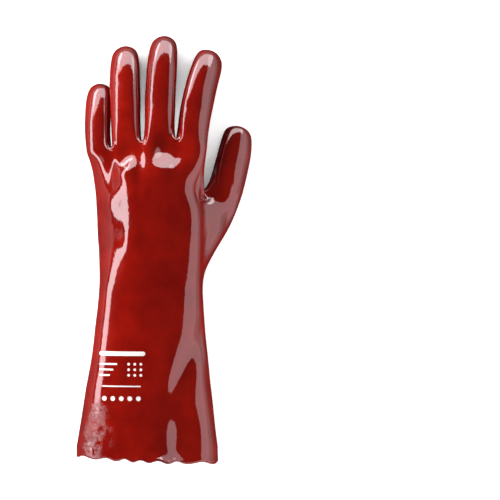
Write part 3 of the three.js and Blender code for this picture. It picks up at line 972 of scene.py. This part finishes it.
edgePairs = [(i, (i + 1) % len(liningEdge)) for i in range(len(liningEdge))]
edgeFibres = runTree(meshObject("edge_fibres", liningEdge * mm, [], edgePairs), fibreTree(), {
    "Count": fibres["count"],
    "Length": fibres["length"] * mm,
    "Radius": fibres["radius"] * mm,
    "Lean": fibres["lean"],
    "Turn": fibres["turn"],
    "Shortest": fibres["sizes"][0],
    "Longest": fibres["sizes"][1],
    "Seed": fibres["seed"],
    "Yarn": yarnMaterial,
})
print("fibres:", len(edgeFibres.data.polygons), "faces")

# White marks on the back of the gauntlet: plain bars and dots, in millimetres
marks = [
    {"x": -33.5, "y": -85.5, "long": 38, "high": 3.6},
    {"x": -45.0, "y": -94.0, "long": 15, "high": 1.5},
    {"x": -46.5, "y": -98.5, "long": 12, "high": 1.5},
    {"x": -48.0, "y": -103.0, "long": 9, "high": 1.5},
    {"x": -34.0, "y": -112.0, "long": 32, "high": 1.0},
    *[{"x": -28 + 5 * i, "y": -94 - 4.5 * j, "long": 2.2, "high": 2.2} for i in range(3) for j in range(3)],
    *[{"x": -48 + 7 * i, "y": -122, "long": 3.8, "high": 3.8} for i in range(5)],
]
ink = {
    "colour": (0.84, 0.8, 0.78, 1),
    "lift": 0.05,
    "castHeight": 200,
    "castLength": 1000,
    "steps": 24,
    "rows": (1, 0.5, 0, -0.5, -1),
    "mergeDistance": 0.01,
    "wornScale": 1400.0,
    "wornFrom": (0.62, 0.72),
    "wornMost": 0.55,
    "gloss": (0.3, 0.5),
    "glossClouds": (300.0, 2.0),
    "ior": 1.5,
    "bump": 0.15,
}


def whiteInk():
    material, tree, shader = newMaterial("white_ink")
    worn = noiseOf(tree, placeOf(tree), ink["wornScale"], 3.0)
    thin = span(tree, worn, *ink["wornFrom"], 0.0, ink["wornMost"])
    tree.links.new(mixColours(tree, thin, ink["colour"], pvc["brightRed"]), shader.inputs["Base Color"])
    gloss = span(tree, cloudsOf(tree, *ink["glossClouds"]), 0.0, 1.0, *ink["gloss"])
    tree.links.new(gloss, shader.inputs["Roughness"])
    shader.inputs["IOR"].default_value = ink["ior"]
    bumpFrom(tree, shader, worn, ink["bump"])
    return material


# A bar with round ends, in four rows of faces; a bar as long as it is high is a dot
def addMark(mark, points, faces):
    radius = mark["high"] / 2
    straight = mark["long"] / 2 - radius
    rows = len(ink["rows"])
    first = len(points)
    for i in range(ink["steps"] + 1):
        along = -math.cos(i / ink["steps"] * math.pi) * (straight + radius)
        over = max(0, abs(along) - straight)
        half = math.sqrt(max(0, radius ** 2 - over ** 2))
        for row in ink["rows"]:
            points.append(((mark["x"] + along) * mm, (mark["y"] + half * row) * mm, 0))
    for i in range(ink["steps"]):
        for j in range(rows - 1):
            a = first + i * rows + j
            faces.append((a + rows, a + 1 + rows, a + 1, a))


# The marks are cast straight down onto the skin and lifted off it a little
def printTree():
    tree, given, result = newGroup(
        "inkOnSkin", "GeometryNodeTree",
        {
            "Geometry": "Geometry", "Skin": "Object", "Cast Height": "Vector", "Cast Length": "Float",
            "Lift": "Float", "Merge Distance": "Float", "Ink": "Material",
        },
        {"Geometry": "Geometry"},
    )
    position = geometryStep(tree, "InputPosition", {}, "Position")
    ray = addNode(tree, "GeometryNodeRaycast", {
        "Target Geometry": geometryStep(tree, "ObjectInfo", {"Object": given["Skin"]}),
        "Source Position": vectorMaths(tree, "ADD", position, given["Cast Height"]),
        "Ray Direction": (0, 0, -1), "Ray Length": given["Cast Length"]}).outputs
    lifted = vectorMaths(tree, "SCALE", ray["Hit Normal"], given["Lift"])
    spot = vectorMaths(tree, "ADD", ray["Hit Position"], lifted)
    distance = {"Distance": given["Merge Distance"]}
    merged = geometryStep(tree, "MergeByDistance", {"Geometry": given["Geometry"], **distance})
    laid = geometryStep(tree, "SetPosition", {"Geometry": merged, "Position": spot})
    finishTree(tree, laid, given["Ink"], result)
    return tree


markPoints = []
markFaces = []
for mark in marks:
    addMark(mark, markPoints, markFaces)
printed = runTree(meshObject("printed_marks", markPoints, markFaces), printTree(), {
    "Skin": coating,
    "Cast Height": (0.0, 0.0, ink["castHeight"] * mm),
    "Cast Length": ink["castLength"] * mm,
    "Lift": ink["lift"] * mm,
    "Merge Distance": ink["mergeDistance"] * mm,
    "Ink": whiteInk(),
})
print("marks:", len(printed.data.polygons), "faces")

for piece, node, slot in ((coating, "pvc_coating", "red_pvc"), (lining, "knit_lining", "cotton_knit")):
    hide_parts(node)
    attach(piece, "root")
for piece in (stitches, edgeFibres):
    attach(piece, "root")
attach(printed, "root")

# Table, camera and lights
studio = {
    "cameraHeight": 2.4,
    "cameraPlace": (0.0707, -0.0011),
    "sensorWidth": 36,
    "clipEnd": 50,
    "frameWidth": 0.4108,
    "outlineHeight": 0.034,
    "tableReach": 6,
    "tableRoughness": 0.8,
    "seenTable": 0.9,
    # painted dark and painted glow of the table, seen only in reflections and bounced light
    "paintedDarkTable": 0.07,
    "paintedTableGlow": 0.4,
    "paintedGlowRight": (0.07, 0.2),
    "paintedGlowFar": (0.17, 0.35),
    "tableGlow": 0.78,
    # painted shade in the narrow gaps between the fingers
    "gapReach": 0.04,
    "gapShade": (0.28, 0.46),
    "roomLight": 0.016,
    "panelColour": (1, 0.94, 0.98),
}


def makeFloor():
    reach = studio["tableReach"]
    corners = [(-reach, -reach, 0), (reach, -reach, 0), (reach, reach, 0), (-reach, reach, 0)]
    floor = meshObject("table_top", corners, [(0, 1, 2, 3)])
    material, tree, shader = newMaterial("pale_table")
    shader.inputs["Roughness"].default_value = studio["tableRoughness"]
    shader.inputs["Emission Color"].default_value = (1, 1, 1, 1)
    # Painted reflection: to all rays but the camera's the table is dark on the left and glows on the right
    # and at the far end, so the glove mirrors painted light and painted dark there
    parts = addNode(tree, "ShaderNodeSeparateXYZ", {0: placeOf(tree)}).outputs
    sides = [span(tree, parts[axis], *studio[name]) for axis, name in (("X", "paintedGlowRight"), ("Y", "paintedGlowFar"))]
    mirrored = times(tree, maths(tree, "MAXIMUM", *sides), studio["paintedTableGlow"])
    seen = addNode(tree, "ShaderNodeLightPath").outputs["Is Camera Ray"]
    tones = [(*[studio[name]] * 3, 1) for name in ("paintedDarkTable", "seenTable")]
    tree.links.new(mixColours(tree, seen, *tones), shader.inputs["Base Color"])
    # Painted shade: ambient occlusion darkens the table's glow in the narrow gaps between the fingers, so
    # they stay dark
    near = addNode(tree, "ShaderNodeAmbientOcclusion", {"Distance": studio["gapReach"]}, samples=8)
    shown = times(tree, span(tree, near.outputs["AO"], *studio["gapShade"]), studio["tableGlow"])
    glow = addNode(tree, "ShaderNodeMix", {0: seen, 2: mirrored, 3: shown}, data_type="FLOAT").outputs[0]
    tree.links.new(glow, shader.inputs["Emission Strength"])
    floor.data.materials.append(material)


def makeCamera():
    data = bpy.data.cameras.new("camera")
    data.sensor_width = studio["sensorWidth"]
    distance = studio["cameraHeight"] - studio["outlineHeight"]
    data.lens = studio["sensorWidth"] * distance / studio["frameWidth"]
    data.clip_end = studio["clipEnd"]
    camera = bpy.data.objects.new("camera", data)
    camera.location = (*studio["cameraPlace"], studio["cameraHeight"])
    bpy.context.scene.collection.objects.link(camera)
    bpy.context.scene.camera = camera


# long and high are a lamp's own sides, along the table and up; place and aim are in metres.
# Some lamps only light the glove, and the others are only mirrored in it.
lamps = [
    {"name": "left_strip", "place": (-1.35, 0.9, 0.38), "aim": (0, 0.9, 0.03), "long": 4.6, "high": 0.36,
     "power": 17, "mirrored": True},
    {"name": "right_panel", "place": (1.35, 0.9, 0.5), "aim": (0, 0.9, 0.03), "long": 4.6, "high": 1.0,
     "power": 12.5, "mirrored": True, "colour": (1, 0.84, 0.88)},
    {"name": "far_panel", "place": (0.0, 1.8, 0.5), "aim": (0.0, 0, 0.03), "long": 3.4, "high": 0.84,
     "power": 22, "mirrored": True},
    {"name": "near_panel", "place": (0.0, -1.2, 0.85), "aim": (0.0, 0, 0.03), "long": 3, "high": 1.0,
     "power": 6, "mirrored": True},
    {"name": "left_fill", "place": (-1.35, 0.5, 0.55), "aim": (0, 0, 0.03), "long": 3, "high": 0.8,
     "power": 72, "mirrored": False},
    {"name": "right_fill", "place": (1.35, 0.9, 0.5), "aim": (0, 0.9, 0.03), "long": 4.6, "high": 1.0,
     "power": 46, "mirrored": False},
    {"name": "soft_fill", "place": (0.5, 0.9, 1.6), "aim": (0, 0, 0.03), "long": 2, "high": 2,
     "power": 5, "mirrored": False},
    {"name": "mouth_fill", "place": (0.1, -1.6, 0.5), "aim": (0, 0, 0.03), "long": 1.6, "high": 0.8,
     "power": 26, "mirrored": False},
]


def makeLamp(lamp):
    data = bpy.data.lights.new(lamp["name"], "AREA")
    data.shape = "RECTANGLE"
    data.size = lamp["long"]
    data.size_y = lamp["high"]
    data.energy = lamp["power"]
    if lamp["mirrored"]:
        data.color = lamp.get("colour", studio["panelColour"])
    light = bpy.data.objects.new(lamp["name"], data)
    light.location = lamp["place"]
    direction = Vector(lamp["aim"]) - Vector(lamp["place"])
    light.rotation_euler = direction.to_track_quat("-Z", "Y").to_euler()
    light.visible_diffuse = not lamp["mirrored"]
    light.visible_glossy = lamp["mirrored"]
    bpy.context.scene.collection.objects.link(light)


def makeWorld():
    world = bpy.data.worlds.new("studio")
    world.use_nodes = True
    background = world.node_tree.nodes["Background"]
    background.inputs["Color"].default_value = (1, 1, 1, 1)
    background.inputs["Strength"].default_value = studio["roomLight"]
    bpy.context.scene.world = world
    bpy.context.scene.view_settings.view_transform = "Standard"


makeFloor()
makeCamera()
for lamp in lamps:
    makeLamp(lamp)
makeWorld()
print("studio set")
